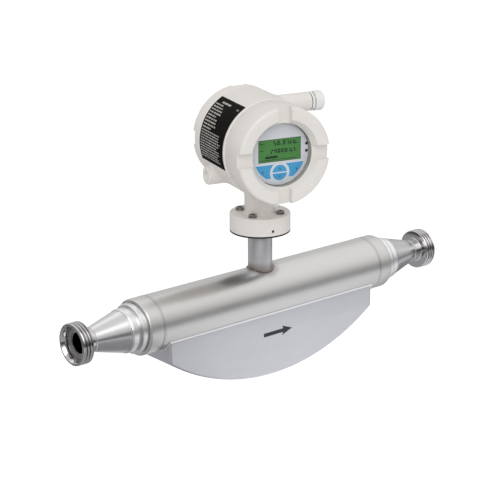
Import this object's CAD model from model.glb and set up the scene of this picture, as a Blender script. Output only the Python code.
"""Looks of an inline mass flow meter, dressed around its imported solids.

Pieces are modelled in millimetres about their own axis and then placed in the frame, in metres.
"""

import math
import random

import bmesh
import bpy
import numpy as np
from bpy.props import FloatProperty, FloatVectorProperty, PointerProperty
from mathutils import Matrix, Vector


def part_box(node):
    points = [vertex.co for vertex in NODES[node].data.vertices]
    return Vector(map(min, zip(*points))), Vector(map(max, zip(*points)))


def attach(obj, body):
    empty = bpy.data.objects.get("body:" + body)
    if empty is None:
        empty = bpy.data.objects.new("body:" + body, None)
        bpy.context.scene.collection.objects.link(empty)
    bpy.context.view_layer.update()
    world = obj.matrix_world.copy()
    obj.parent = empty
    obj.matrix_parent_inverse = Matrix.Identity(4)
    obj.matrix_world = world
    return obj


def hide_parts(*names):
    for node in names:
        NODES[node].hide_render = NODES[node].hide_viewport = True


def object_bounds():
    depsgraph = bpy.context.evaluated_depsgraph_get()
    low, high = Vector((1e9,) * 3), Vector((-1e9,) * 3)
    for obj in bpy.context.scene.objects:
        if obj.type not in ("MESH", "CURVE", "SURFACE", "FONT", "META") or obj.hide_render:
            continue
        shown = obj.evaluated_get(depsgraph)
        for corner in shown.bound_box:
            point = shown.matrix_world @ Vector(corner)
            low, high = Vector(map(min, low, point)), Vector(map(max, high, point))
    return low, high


bl_info = {
    "name": "Inline Flow Meter",
    "version": (1, 0, 0),
    "blender": (4, 5, 0),
    "location": "View3D > Sidebar > Flow Meter",
    "description": "Dresses the flow meter's solids with detailed pieces and finishes",
    "category": "Object",
}

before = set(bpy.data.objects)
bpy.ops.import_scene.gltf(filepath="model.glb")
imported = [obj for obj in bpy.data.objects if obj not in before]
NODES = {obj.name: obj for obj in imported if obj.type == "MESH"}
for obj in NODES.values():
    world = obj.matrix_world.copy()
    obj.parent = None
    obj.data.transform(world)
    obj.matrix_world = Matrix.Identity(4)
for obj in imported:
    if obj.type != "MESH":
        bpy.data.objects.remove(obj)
SOLID_BOX = [list(corner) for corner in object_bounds()]

MM = 0.001
SMOOTH_ANGLE = math.radians(32)
TURN_STEPS = 144


def middle(node):
    """Middle of a solid's box, in metres."""
    low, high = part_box(node)
    return (low + high) / 2


METER_LENGTH = SOLID_BOX[1][0] / MM
MID_X = METER_LENGTH / 2
AXIS_Z = middle("rear_cover").z / MM

# Process ends, from the face inwards
THREAD_R = 26.0
THREAD_START = 1.0
THREAD_END = 14.5
PIPE_R = 15.0
BORE_R = 13.0
SEAT_R = 20.0
SEAT_DEPTH = 12.5
FITTING_LENGTH = 26.0
REDUCER_END = 70.0
COLLAR_R = 26.2

# Housing tube, belly and stem
TUBE_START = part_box("housing_tube")[0].x / MM
TUBE_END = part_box("housing_tube")[1].x / MM
TUBE_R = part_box("housing_tube")[1].z / MM
SEAM_INSET = 21.0
BELLY_START = 123.5
BELLY_END = 458.5
BELLY_HALF = 29.65
BELLY_TOP = -15.5
BELLY_ARC_R = 288.5
BELLY_DEPTH = 101.6
BELLY_EDGE_R = 2.8
BELLY_WALL = 2.0
ARROW_SHIFT = 4.5
ARROW_Z = -46.0
STEM_R = 15.5
STEM_BORE_R = 13.0
STEM_START = 30.0
STEM_TOP = 82.0

# Foot and swivel
SWIVEL_YAW = math.radians(-15)
FOOT_BOTTOM = 85.2
FOOT_TOP = 107.4
FOOT_GROOVE_LOW = 89.0
FOOT_GROOVE_HIGH = 89.65
FOOT_GROOVE_DEPTH = 0.35
FOOT_R = 38.3
FOOT_BORE_R = 34.05
FOOT_BORE_TOP = 88.3
RECESS_R = 22.55
RECESS_TOP = 98.25
NECK_R = 19.5
CLAMP_PCD = 54.0
SPOT_FACE_R = 5.8
SPOT_FACE_DEPTH = 0.6
SWIVEL_LOCK_R = 2.02
SWIVEL_LOCK_Z = 91.2

# Housing and covers, along the drum's axis from its middle
HOUSING_R = 62.45
HOUSING_FRONT = 29.7
HOUSING_REAR = 44.4
COMPARTMENT_R = 54.3
COVER_FRONT = 30.2
FRONT_FACE = 72.3
FRONT_COVER_R = 61.0
REAR_COVER = 44.9
REAR_FACE = 67.4
REAR_COVER_R = 62.3
SPIGOT_R = 54.0
SPIGOT_BORE_R = 48.0
COVER_THREAD_PITCH = 2.0
COVER_THREAD_DEPTH = 0.9
COVER_GROOVE_R = 57.6
NOTCH_WIDTH = 18.0
NOTCH_DEPTH = 8.0
WINDOW_R = 43.5
WINDOW_FRONT = 63.3
WINDOW_REAR = 57.3
LUG_R = 3.8
LUG_START = 6.2
LUG_WEB = 3.4
LUG_DROP = 67.1
LOCK_HOLE_R = 2.02
FRONT_LUG_END = 44.7
REAR_LUG_END = 56.4

# Display, in the plane of its face
DISPLAY_FACE = 56.3
DISPLAY_R = 39.2
DISPLAY_DISC = 6.0
PANEL_DEPTH = 1.2
PANEL_SINK = 0.3
PANEL_UP = 4.8
PANEL_W = 57.0
PANEL_H = 28.0
KEY_DROP = 23.4
KEY_PAIR_R = 9.75
KEY_RING_R = 13.15
SIDE_KEY_R = 34.7
SIDE_KEY_TOP = -12.6
SIDE_KEY_LOW = -29.9
LENS_X = 36.2
LENS_STEP = 4.6

# Cable entries, along each boss from the drum's axis
BOSS_R = 12.0
BOSS_OFFSET = 40.2
BOSS_BACK = 26.0
RIGHT_BOSS_END = 80.5
LEFT_BOSS_END = 60.0
NUT_START = 85.9
NUT_END = 98.4

# Name plate on the drum's left side
PLATE_R = 62.55
PLATE_THICKNESS = 0.6
PLATE_TOP = 60.0
PLATE_SWEEP = 80.0
PLATE_REAR = -42.0
PLATE_WIDTH = 68.0

# Camera, floor and light
VIEW_AZIMUTH = math.radians(-39.98)
VIEW_ELEVATION = math.radians(17.76)
VIEW_ROLL = math.radians(-0.23)
VIEW_DISTANCE = 2258.8
VIEW_LENS = 129.38
VIEW_TARGET = (MID_X - 17.2, -0.7, 60.3)
FLOOR_Z = -0.30
FLOOR_SIZE = 14
WORLD_LEVEL = 0.66
WHITE = (1, 1, 1, 1)
# The floor's tone to the camera, and to reflections: in the pale pool, around it, under the cones and far off
PLAIN_TONE = (0.86, 0.86, 0.86, 1)
PALE_TONE = (0.86, 0.87, 0.90, 1)
MIDDLE_TONE = (0.60, 0.60, 0.62, 1)
SHADE_TONE = (0.34, 0.34, 0.35, 1)
DARK_TONE = (0.10, 0.10, 0.11, 1)
# Name, place from the meter's middle, size and power
LIGHTS = (("key_light", (-1.3, -1.6, 1.7), 2.1, 27.0), ("fill_light", (2.2, -1.4, 0.7), 2.0, 5.0))

# Local axes of the meter's groups, as matrices from millimetres to the frame
TO_METRES = Matrix.Scale(MM, 4)
ALONG_X = Matrix.Rotation(math.pi / 2, 4, "Y")
TO_FRONT = Matrix.Rotation(math.pi / 2, 4, "X")
TO_REAR = Matrix.Rotation(-math.pi / 2, 4, "X")
INLET = TO_METRES @ ALONG_X
OUTLET = TO_METRES @ Matrix.Translation((METER_LENGTH, 0, 0)) @ Matrix.Rotation(math.pi, 4, "Z") @ ALONG_X
AT_STEM = TO_METRES @ Matrix.Translation((MID_X, 0, 0))
IN_FOOT = AT_STEM @ Matrix.Rotation(SWIVEL_YAW, 4, "Z")
IN_HEAD = TO_METRES @ Matrix.Translation((MID_X, 0, AXIS_Z)) @ Matrix.Rotation(SWIVEL_YAW, 4, "Z")
FRONT = IN_HEAD @ TO_FRONT
REAR = IN_HEAD @ TO_REAR
UNDER_REAR = REAR @ Matrix.Rotation(math.pi, 4, "Z")


def across(x):
    """A pipe section's own axes, its face at a place along the meter."""
    return TO_METRES @ Matrix.Translation((x, 0, 0)) @ ALONG_X


def on_boss(side):
    """Axis of a cable entry: 1 is the upper right one, -1 the lower left one."""
    return (
        IN_HEAD
        @ Matrix.Translation((0, BOSS_BACK, side * BOSS_OFFSET))
        @ Matrix.Rotation(side * math.pi / 2, 4, "Y")
    )


# ---------------------------------------------------------------- settings


class MeterSizes(bpy.types.PropertyGroup):
    """Sizes of the detail that the solids leave out."""

    thread_pitch: FloatProperty(
        name="Thread Pitch", description="Pitch of the round threads at both ends",
        default=0.004233, min=0.002, max=0.006, subtype="DISTANCE", unit="LENGTH",
    )
    thread_depth: FloatProperty(
        name="Thread Depth", description="Depth of the round threads",
        default=0.0021, min=0.0005, max=0.003, subtype="DISTANCE", unit="LENGTH",
    )
    weld_height: FloatProperty(
        name="Weld Height", description="How far a weld bead stands proud",
        default=0.00045, min=0.0001, max=0.002, subtype="DISTANCE", unit="LENGTH",
    )
    weld_ripple: FloatProperty(
        name="Weld Ripple", description="Spacing of the ripples along a weld",
        default=0.0017, min=0.0005, max=0.004, subtype="DISTANCE", unit="LENGTH",
    )
    fillet: FloatProperty(
        name="Casting Fillet", description="Radius where the neck grows out of the housing",
        default=0.007, min=0.001, max=0.010, subtype="DISTANCE", unit="LENGTH",
    )
    arrow_length: FloatProperty(
        name="Arrow Length", description="Length of the flow arrow",
        default=0.047, min=0.020, max=0.080, subtype="DISTANCE", unit="LENGTH",
    )


class MeterColours(bpy.types.PropertyGroup):
    """Colours of the visible finishes, as linear values."""

    paint: FloatVectorProperty(
        name="Housing Paint", description="Powder coat of the housing",
        default=(0.77, 0.735, 0.70), subtype="COLOR", min=0, max=1,
    )
    steel: FloatVectorProperty(
        name="Steel", description="Base colour of the housing tube",
        default=(0.575, 0.567, 0.555), subtype="COLOR", min=0, max=1,
    )
    panel: FloatVectorProperty(
        name="Display Panel", description="Lit colour of the display panel",
        default=(0.066, 0.245, 0.052), subtype="COLOR", min=0, max=1,
    )
    keys: FloatVectorProperty(
        name="Touch Keys", description="Colour of the touch keys",
        default=(0.06, 0.36, 0.68), subtype="COLOR", min=0, max=1,
    )
    plate: FloatVectorProperty(
        name="Name Plate", description="Ground colour of the name plate",
        default=(0.004, 0.0035, 0.003), subtype="COLOR", min=0, max=1,
    )


# ---------------------------------------------------------------- modelling


def setting(name):
    """One of the meter's sizes, in millimetres."""
    return getattr(bpy.context.scene.meter_sizes, name) / MM


def clear_selection():
    for obj in list(bpy.context.selected_objects):
        obj.select_set(False)


def pick(*objs):
    """Selects these objects alone, the first one active."""
    clear_selection()
    for obj in objs:
        obj.select_set(True)
    bpy.context.view_layer.objects.active = objs[0]


def edit(obj, kind="FACE"):
    pick(obj)
    bpy.ops.object.mode_set(mode="EDIT")
    bpy.ops.mesh.select_mode(type=kind)


def leave_edit():
    bpy.ops.object.mode_set(mode="OBJECT")


def choose(obj, kind, test):
    """In edit mode, selects the edges or faces for which test(item) is true."""
    mesh = bmesh.from_edit_mesh(obj.data)
    bpy.ops.mesh.select_all(action="DESELECT")
    items = mesh.edges if kind == "EDGE" else mesh.faces
    for item in items:
        if test(item):
            item.select_set(True)
    bmesh.update_edit_mesh(obj.data)


def outline(name, points, fill):
    """A ring of vertices from a primitive circle, moved onto the given points."""
    clear_selection()
    bpy.ops.mesh.primitive_circle_add(vertices=len(points), radius=1, fill_type=fill)
    obj = bpy.context.object
    obj.name = obj.data.name = name
    obj.data.vertices.foreach_set("co", np.array(points, float).ravel())
    obj.data.update()
    return obj


def turned(name, profile, steps=TURN_STEPS):
    """A turned piece: a closed profile of (radius, height) points spun about Z."""
    obj = outline(name, [(r, 0, z) for r, z in profile], "NOTHING")
    edit(obj, "EDGE")
    choose(obj, "EDGE", lambda e: all(abs(v.co.x) < 1e-6 for v in e.verts))
    bpy.ops.mesh.delete(type="EDGE")
    bpy.ops.mesh.select_all(action="SELECT")
    bpy.ops.mesh.spin(steps=steps, angle=2 * math.pi, center=(0, 0, 0), axis=(0, 0, 1))
    bpy.ops.mesh.select_all(action="SELECT")
    bpy.ops.mesh.remove_doubles(threshold=1e-4)
    bpy.ops.mesh.normals_make_consistent(inside=False)
    leave_edit()
    return obj


def plate(name, points, low, high, bevel=0, segments=2):
    """A flat piece: an outline in XY extruded from low to high, its upper rim rounded."""
    obj = outline(name, [(x, y, low) for x, y in points], "NGON")
    edit(obj)
    bpy.ops.mesh.select_all(action="SELECT")
    bpy.ops.mesh.extrude_region_move(TRANSFORM_OT_translate={"value": (0, 0, high - low)})
    bpy.ops.mesh.select_all(action="SELECT")
    bpy.ops.mesh.normals_make_consistent(inside=False)
    if bevel:
        choose(obj, "EDGE", lambda e: all(abs(v.co.z - high) < 1e-4 for v in e.verts))
        bpy.ops.mesh.bevel(offset=bevel, segments=segments, affect="EDGES")
    leave_edit()
    return obj


def block(name, low, high, bevel=0):
    """A box between two corners with all its edges rounded."""
    clear_selection()
    bpy.ops.mesh.primitive_cube_add(size=1)
    obj = bpy.context.object
    obj.name = obj.data.name = name
    size = [h - l for l, h in zip(low, high)]
    centre = [(h + l) / 2 for l, h in zip(low, high)]
    obj.data.transform(Matrix.Translation(centre) @ Matrix.Diagonal((*size, 1)))
    if bevel:
        edit(obj, "EDGE")
        bpy.ops.mesh.select_all(action="SELECT")
        bpy.ops.mesh.bevel(offset=bevel, segments=2, affect="EDGES")
        leave_edit()
    return obj


def rod(radius, length, place, sides=48):
    """A bar centred on place, along its Z."""
    clear_selection()
    bpy.ops.mesh.primitive_cylinder_add(vertices=sides, radius=radius, depth=length)
    obj = bpy.context.object
    obj.data.transform(place)
    return obj


def hexagon(flats, length, height):
    """A hexagonal bar across flats, about Z and centred at a height."""
    return rod(flats / math.sqrt(3), length, Matrix.Translation((0, 0, height)), 6)


def cut(obj, *tools):
    """Takes the tools away from obj."""
    for tool in tools:
        modifier = obj.modifiers.new("cut", "BOOLEAN")
        modifier.operation = "DIFFERENCE"
        modifier.solver = "EXACT"
        modifier.object = tool
        pick(obj)
        bpy.ops.object.modifier_apply(modifier=modifier.name)
    for tool in tools:
        bpy.data.objects.remove(tool)
    return obj


def join(name, objs):
    pick(*objs)
    if len(objs) > 1:
        bpy.ops.object.join()
    obj = bpy.context.view_layer.objects.active
    obj.name = obj.data.name = name
    return obj


def copy_of(obj, name, matrix):
    """A copy with its own mesh, moved by matrix."""
    twin = obj.copy()
    twin.data = obj.data.copy()
    twin.name = twin.data.name = name
    twin.data.transform(matrix)
    bpy.context.scene.collection.objects.link(twin)
    return twin


def move_points(obj, rule):
    """Moves the vertices by rule, a function of their coordinates as an array."""
    count = len(obj.data.vertices)
    points = np.empty(count * 3)
    obj.data.vertices.foreach_get("co", points)
    obj.data.vertices.foreach_set("co", rule(points.reshape(count, 3)).ravel())
    obj.data.update()


def arc(cx, cy, r, a0, a1, n):
    """Points on an arc from angle a0 to a1, in degrees."""
    angles = [math.radians(a0 + (a1 - a0) * i / n) for i in range(n + 1)]
    return [(cx + r * math.cos(a), cy + r * math.sin(a)) for a in angles]


def bead(name, path, radius, closed=True, ripple=0.08):
    """A weld bead: a round section swept along path, its size rippled like laid metal."""
    clear_selection()
    curve = bpy.data.curves.new(name, "CURVE")
    curve.dimensions = "3D"
    curve.bevel_depth = radius
    curve.bevel_resolution = 3
    curve.use_fill_caps = not closed
    spline = curve.splines.new("POLY")
    spline.points.add(len(path) - 1)
    spline.use_cyclic_u = closed
    spacing = setting("weld_ripple")
    along, last = 0.0, Vector(path[0])
    drift = random.Random(name)
    wander = 0.0
    for point, place in zip(spline.points, path):
        here = Vector(place)
        along += (here - last).length
        last = here
        wander = 0.9 * wander + 0.1 * drift.uniform(-1, 1)
        wave = (along / spacing) % 1.0
        point.co = (*here, 1)
        point.radius = 1 + ripple * (1 - 2 * wave) + 0.25 * ripple * wander
    obj = bpy.data.objects.new(name, curve)
    bpy.context.scene.collection.objects.link(obj)
    pick(obj)
    bpy.ops.object.convert(target="MESH")
    obj = bpy.context.view_layer.objects.active
    obj.name = obj.data.name = name
    return obj


def dress(obj, body, slot, material, *replaced, matrix=None, smooth=True):
    """Places a finished piece in the frame, gives it its finish and lets it ride."""
    if matrix is not None:
        obj.data.transform(matrix)
    obj.data.update()
    obj.data.materials.clear()
    obj.data.materials.append(bpy.data.materials[material])
    pick(obj)
    if smooth:
        bpy.ops.object.shade_smooth_by_angle(angle=SMOOTH_ANGLE)
    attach(obj, body)
    if replaced:
        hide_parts(*replaced)
    return obj


# ---------------------------------------------------------------- finishes


class Tree:
    """Short calls for building a node tree."""

    def __init__(self, tree):
        self.tree = tree

    def node(self, kind, inputs=None, **settings):
        """A new node; an input given as a socket is linked, any other is its value."""
        node = self.tree.nodes.new(kind)
        for key, value in settings.items():
            setattr(node, key, value)
        for key, value in (inputs or {}).items():
            if isinstance(value, bpy.types.NodeSocket):
                self.tree.links.new(value, node.inputs[key])
            else:
                node.inputs[key].default_value = value
        return node

    def math(self, operation, a, b=0.0, c=0.0, clamp=False):
        return self.node("ShaderNodeMath", {0: a, 1: b, 2: c}, operation=operation, use_clamp=clamp).outputs[0]

    def add(self, a, b):
        return self.math("ADD", a, b)

    def less(self, a, b):
        return self.math("SUBTRACT", a, b)

    def times(self, a, b):
        return self.math("MULTIPLY", a, b)

    def size(self, a, b):
        """Length of the vector a, b."""
        return self.math("SQRT", self.add(self.times(a, a), self.times(b, b)))

    def parts(self, vector):
        """X, Y and Z of a vector."""
        return self.node("ShaderNodeSeparateXYZ", {"Vector": vector}).outputs

    def band(self, value, start, end, low, high):
        """Value carried smoothly from the range start..end to low..high."""
        inputs = {"Value": value, "From Min": start, "From Max": end, "To Min": low, "To Max": high}
        return self.node("ShaderNodeMapRange", inputs, interpolation_type="SMOOTHSTEP").outputs["Result"]

    def noise(self, vector, scale, detail=2.0, roughness=0.5):
        inputs = {"Vector": vector, "Scale": scale, "Detail": detail, "Roughness": roughness}
        return self.node("ShaderNodeTexNoise", inputs).outputs["Fac"]

    def mix(self, factor, a, b, blend="MIX"):
        node = self.node("ShaderNodeMix", data_type="RGBA", blend_type=blend)
        for index, value in ((0, factor), (6, a), (7, b)):
            if isinstance(value, bpy.types.NodeSocket):
                self.tree.links.new(value, node.inputs[index])
            else:
                node.inputs[index].default_value = value
        return node.outputs[2]

    def object_point(self):
        return self.node("ShaderNodeTexCoord").outputs["Object"]

    def scaled(self, vector, scale):
        return self.node("ShaderNodeMapping", {"Vector": vector, "Scale": scale}).outputs["Vector"]


def tone(tree, colour, share, value):
    """The colour made up to share lighter or darker as value runs from 0 to 1."""
    level = tree.math("MULTIPLY_ADD", tree.less(value, 0.5), share, 1.0)
    grey = tree.node("ShaderNodeCombineColor", {"Red": level, "Green": level, "Blue": level}).outputs[0]
    return tree.mix(1.0, colour, grey, "MULTIPLY")


def coat_pattern(tree, point, scale):
    """Fine orange peel under a faint cloud."""
    cloud = tree.noise(point, 22, 3)
    return tree.noise(point, scale, 2), cloud, cloud


def blasted_pattern(tree, point, scale):
    """Blasted grain under clouds drawn out along the meter."""
    grain = tree.noise(point, scale, 3, 0.6)
    cloud = tree.noise(tree.scaled(point, (0.6, 1, 1)), 28, 4, 0.6)
    both = tree.add(tree.times(cloud, 0.8), tree.times(grain, 0.2))
    return grain, both, both


def turned_pattern(tree, point, scale):
    """Fine lines around the meter's axis."""
    lines = tree.noise(tree.scaled(point, (1, 0.012, 0.012)), scale, 2, 0.7)
    cloud = tree.noise(point, 40, 3)
    return lines, tree.times(tree.add(lines, cloud), 0.5), lines


def moulded_pattern(tree, point, scale):
    """Fine mould grain with a faint mottle."""
    grain = tree.noise(point, scale, 2)
    return grain, tree.noise(point, 60, 2), grain


def new_group(name, pattern, wear):
    """A finish group. The pattern gives its relief, its cloud of tones and its cloud of gloss."""
    group = bpy.data.node_groups.new(name, "ShaderNodeTree")
    for way, label, kind in (
        ("INPUT", "Color", "Color"), ("INPUT", "Grain Scale", "Float"), ("INPUT", "Mottle", "Float"),
        ("INPUT", "Gloss", "Float"), ("OUTPUT", "Color", "Color"), ("OUTPUT", "Roughness", "Float"),
        ("OUTPUT", "Height", "Float"),
    ):
        group.interface.new_socket(label, in_out=way, socket_type="NodeSocket" + kind)
    tree = Tree(group)
    source = tree.node("NodeGroupInput").outputs
    relief, tones, gloss = pattern(tree, tree.object_point(), source["Grain Scale"])
    tree.node("NodeGroupOutput", {
        "Color": tone(tree, source["Color"], source["Mottle"], tones),
        "Roughness": tree.add(source["Gloss"], tree.times(tree.less(gloss, 0.5), wear)),
        "Height": relief,
    })


def new_material(name, group, colour, grain, mottle, gloss, bump, metallic=0.0, tint=None, **sockets):
    """A material around one finish group. tint(tree, colour) may colour the surface before it."""
    if name in bpy.data.materials:
        raise RuntimeError(f"there is already a material {name}")
    material = bpy.data.materials.new(name)
    material.use_nodes = True
    tree = Tree(material.node_tree)
    colour = (*colour, 1)
    finish = tree.node("ShaderNodeGroup", node_tree=bpy.data.node_groups[group])
    for key, value in (("Grain Scale", grain), ("Mottle", mottle), ("Gloss", gloss)):
        finish.inputs[key].default_value = value
    if tint:
        material.node_tree.links.new(tint(tree, colour), finish.inputs["Color"])
    else:
        finish.inputs["Color"].default_value = colour
    height = finish.outputs["Height"]
    relief = tree.node("ShaderNodeBump", {"Height": height, "Strength": bump, "Distance": RELIEF_DEPTH})
    shader = material.node_tree.nodes["Principled BSDF"]
    links = material.node_tree.links
    links.new(finish.outputs["Color"], shader.inputs["Base Color"])
    links.new(finish.outputs["Roughness"], shader.inputs["Roughness"])
    links.new(relief.outputs["Normal"], shader.inputs["Normal"])
    shader.inputs["Metallic"].default_value = metallic
    for key, value in sockets.items():
        shader.inputs[key].default_value = value
    return material


def wobble(tree, scale, width):
    """A ragged edge of that width, in metres, for a heat mark."""
    return tree.times(tree.less(tree.noise(tree.object_point(), scale, 3), 0.5), width)


def weld_tint(tree, colour):
    """Heat colours on the tube: around the stem and along the two round seams."""
    x, y, z = tree.parts(tree.object_point())
    ragged = wobble(tree, 90, 0.005)
    along = tree.less(x, MID_X * MM)
    radius = tree.add(tree.size(along, y), ragged)
    near_stem = tree.times(tree.band(radius, 0.0185, 0.0265, 1, 0), tree.band(z, 0.02, 0.03, 0, 1))
    off_seam = tree.less(tree.math("ABSOLUTE", along), (MID_X - TUBE_START - SEAM_INSET) * MM)
    seam = tree.band(tree.add(tree.math("ABSOLUTE", off_seam), ragged), 0.0012, 0.0042, 1, 0)
    colour = tree.mix(tree.times(near_stem, 0.55), colour, (0.30, 0.25, 0.22, 1))
    return tree.mix(tree.times(seam, 0.25), colour, (0.38, 0.37, 0.36, 1))


def stem_tint(tree, colour):
    """Heat colours at the foot of the stem."""
    height = tree.add(tree.parts(tree.object_point())[2], wobble(tree, 110, 0.004))
    scorched = tree.times(tree.band(height, 0.037, 0.0455, 1, 0), 0.6)
    return tree.mix(scorched, colour, (0.30, 0.24, 0.20, 1))


def thread_tint(tree, colour):
    """Dark thread grooves and a dark bore in the polished fittings."""
    x, y, z = tree.parts(tree.object_point())
    _, facing_y, facing_z = tree.parts(tree.node("ShaderNodeNewGeometry").outputs["Normal"])
    radius = tree.size(y, z)
    outward = tree.add(tree.times(y, facing_y), tree.times(z, facing_z))
    from_end = tree.less(MID_X * MM, tree.math("ABSOLUTE", tree.less(x, MID_X * MM)))
    groove = tree.times(tree.band(radius, 0.0240, 0.0256, 1, 0), tree.band(radius, 0.0232, 0.0236, 0, 1))
    groove = tree.times(groove, tree.band(from_end, 0.0150, 0.0156, 1, 0))
    bore = tree.times(tree.band(outward, -0.006, -0.001, 1, 0), tree.band(radius, 0.0150, 0.0156, 1, 0))
    colour = tree.mix(tree.times(groove, 0.72), colour, (0.05, 0.048, 0.046, 1))
    return tree.mix(tree.times(bore, 0.9), colour, (0.02, 0.02, 0.02, 1))


def sheet_tint(tree, colour):
    """Slight rolling streaks and a darker upper rim on the belly's sheet."""
    point = tree.object_point()
    streaked = tone(tree, colour, 0.08, tree.noise(tree.scaled(point, (0.25, 1, 1.6)), 120, 4, 0.6))
    rim = tree.times(tree.band(tree.parts(point)[2], -0.030, -0.019, 0, 1), 0.18)
    return tree.mix(rim, streaked, (0.45, 0.43, 0.42, 1))


def coil_tint(tree, colour):
    """Fine windings, as rings about the coil's axis."""
    return tone(tree, colour, 0.5, tree.noise(tree.scaled(tree.object_point(), (1, 30, 1)), 160, 0))


FINISH_GROUPS = (
    ("powder_coat", coat_pattern, 0.12),
    ("blasted_steel", blasted_pattern, 0.16),
    ("turned_steel", turned_pattern, 0.12),
    ("moulded_plastic", moulded_pattern, 0.1),
)
RELIEF_DEPTH = 0.00003

# Name, colour (or the setting that holds it), grain scale, mottle, gloss, bump and other values
STEEL = {"metallic": 1.0}
FINISHES = {
    "powder_coat": (
        ("housing_paint", "paint", 650, 0.035, 0.42, 0.25, {}),
    ),
    "blasted_steel": (
        ("tube_steel", "steel", 900, 0.10, 0.37, 0.25, STEEL | {"tint": weld_tint}),
        ("stem_steel", (0.70, 0.705, 0.72), 900, 0.10, 0.42, 0.2, STEEL | {"tint": stem_tint}),
        ("belly_steel", (0.62, 0.625, 0.65), 1100, 0.06, 0.46, 0.2, STEEL | {"tint": sheet_tint}),
        ("weld_metal", (0.52, 0.51, 0.51), 500, 0.25, 0.30, 0.3, STEEL),
        ("bright_weld", (0.76, 0.76, 0.78), 500, 0.20, 0.36, 0.3, STEEL),
        ("seam_metal", (0.42, 0.42, 0.425), 500, 0.30, 0.34, 0.3, STEEL),
        ("scorched_weld", (0.24, 0.22, 0.21), 500, 0.45, 0.36, 0.35, STEEL),
        ("black_oxide", (0.035, 0.034, 0.033), 1200, 0.2, 0.45, 0.2, {"metallic": 0.6}),
        ("aged_screw", (0.30, 0.285, 0.27), 1500, 0.35, 0.38, 0.25, STEEL),
        ("label_black", "plate", 1500, 0.2, 0.6, 0.12, {"IOR": 1.12}),
        ("magnet_metal", (0.42, 0.42, 0.44), 2000, 0.1, 0.3, 0.15, STEEL),
    ),
    "turned_steel": (
        ("turned_steel", (0.60, 0.595, 0.60), 3000, 0.08, 0.19, 0.12, STEEL),
        ("mirror_steel", (0.66, 0.65, 0.66), 2200, 0.05, 0.24, 0.08, STEEL),
        ("thread_steel", (0.50, 0.49, 0.49), 2200, 0.05, 0.11, 0.08, STEEL | {"tint": thread_tint}),
        ("collar_steel", (0.72, 0.715, 0.72), 2600, 0.10, 0.34, 0.15, STEEL),
        ("zinc_screw", (0.55, 0.54, 0.53), 2500, 0.1, 0.3, 0.1, STEEL),
        ("gold_header", (0.70, 0.50, 0.20), 2500, 0.1, 0.25, 0.1, STEEL),
    ),
    "moulded_plastic": (
        ("black_rubber", (0.012, 0.012, 0.013), 1500, 0.15, 0.6, 0.3, {}),
        ("pale_seal", (0.17, 0.165, 0.16), 1500, 0.08, 0.2, 0.1, {}),
        ("retainer_grey", (0.46, 0.44, 0.41), 1500, 0.06, 0.5, 0.1, {}),
        ("face_silver", (0.70, 0.72, 0.75), 2500, 0.02, 0.3, 0.05, {}),
        ("panel_green", "panel", 3000, 0.05, 0.3, 0.03, {"IOR": 1.15}),
        ("panel_ink", (0.004, 0.018, 0.006), 3000, 0.05, 0.3, 0.03, {"IOR": 1.15}),
        ("touch_blue", "keys", 2500, 0.06, 0.3, 0.05, {"IOR": 1.2}),
        ("key_mark", (0.02, 0.14, 0.24), 2500, 0.05, 0.3, 0.05, {}),
        ("key_border", (0.74, 0.82, 0.88), 2500, 0.02, 0.3, 0.05, {}),
        ("dark_lens", (0.004, 0.004, 0.005), 3000, 0.02, 0.12, 0.02, {}),
        ("gland_plastic", (0.80, 0.80, 0.79), 1300, 0.03, 0.38, 0.15, {}),
        ("plug_plastic", (0.80, 0.78, 0.74), 1300, 0.03, 0.42, 0.15, {}),
        ("plate_print", (0.42, 0.40, 0.37), 2500, 0.25, 0.6, 0.05, {}),
        ("arrow_black", (0.018, 0.018, 0.02), 2000, 0.2, 0.5, 0.1, {}),
        ("copper_winding", (0.42, 0.16, 0.06), 2500, 0.2, 0.35, 0.3, {"metallic": 0.7, "tint": coil_tint}),
        ("sensor_ceramic", (0.66, 0.64, 0.57), 2200, 0.06, 0.5, 0.15, {}),
        ("white_washer", (0.78, 0.78, 0.75), 1800, 0.04, 0.45, 0.1, {}),
        ("cast_potting", (0.012, 0.022, 0.018), 700, 0.25, 0.35, 0.35, {}),
        ("terminal_plastic", (0.03, 0.16, 0.06), 1500, 0.08, 0.42, 0.15, {}),
        ("window_glass", (0.30, 0.35, 0.34), 200, 0.0, 0.05, 0.0, {"Alpha": 0.04}),
    ),
}


def build_materials(colours):
    """One material for each finish on the meter."""
    for name, pattern, wear in FINISH_GROUPS:
        new_group(name, pattern, wear)
    for group, rows in FINISHES.items():
        for name, colour, grain, mottle, gloss, bump, others in rows:
            if isinstance(colour, str):
                colour = getattr(colours, colour)
            new_material(name, group, colour, grain, mottle, gloss, bump, **others)
    bpy.data.materials["window_glass"].surface_render_method = "BLENDED"


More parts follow.
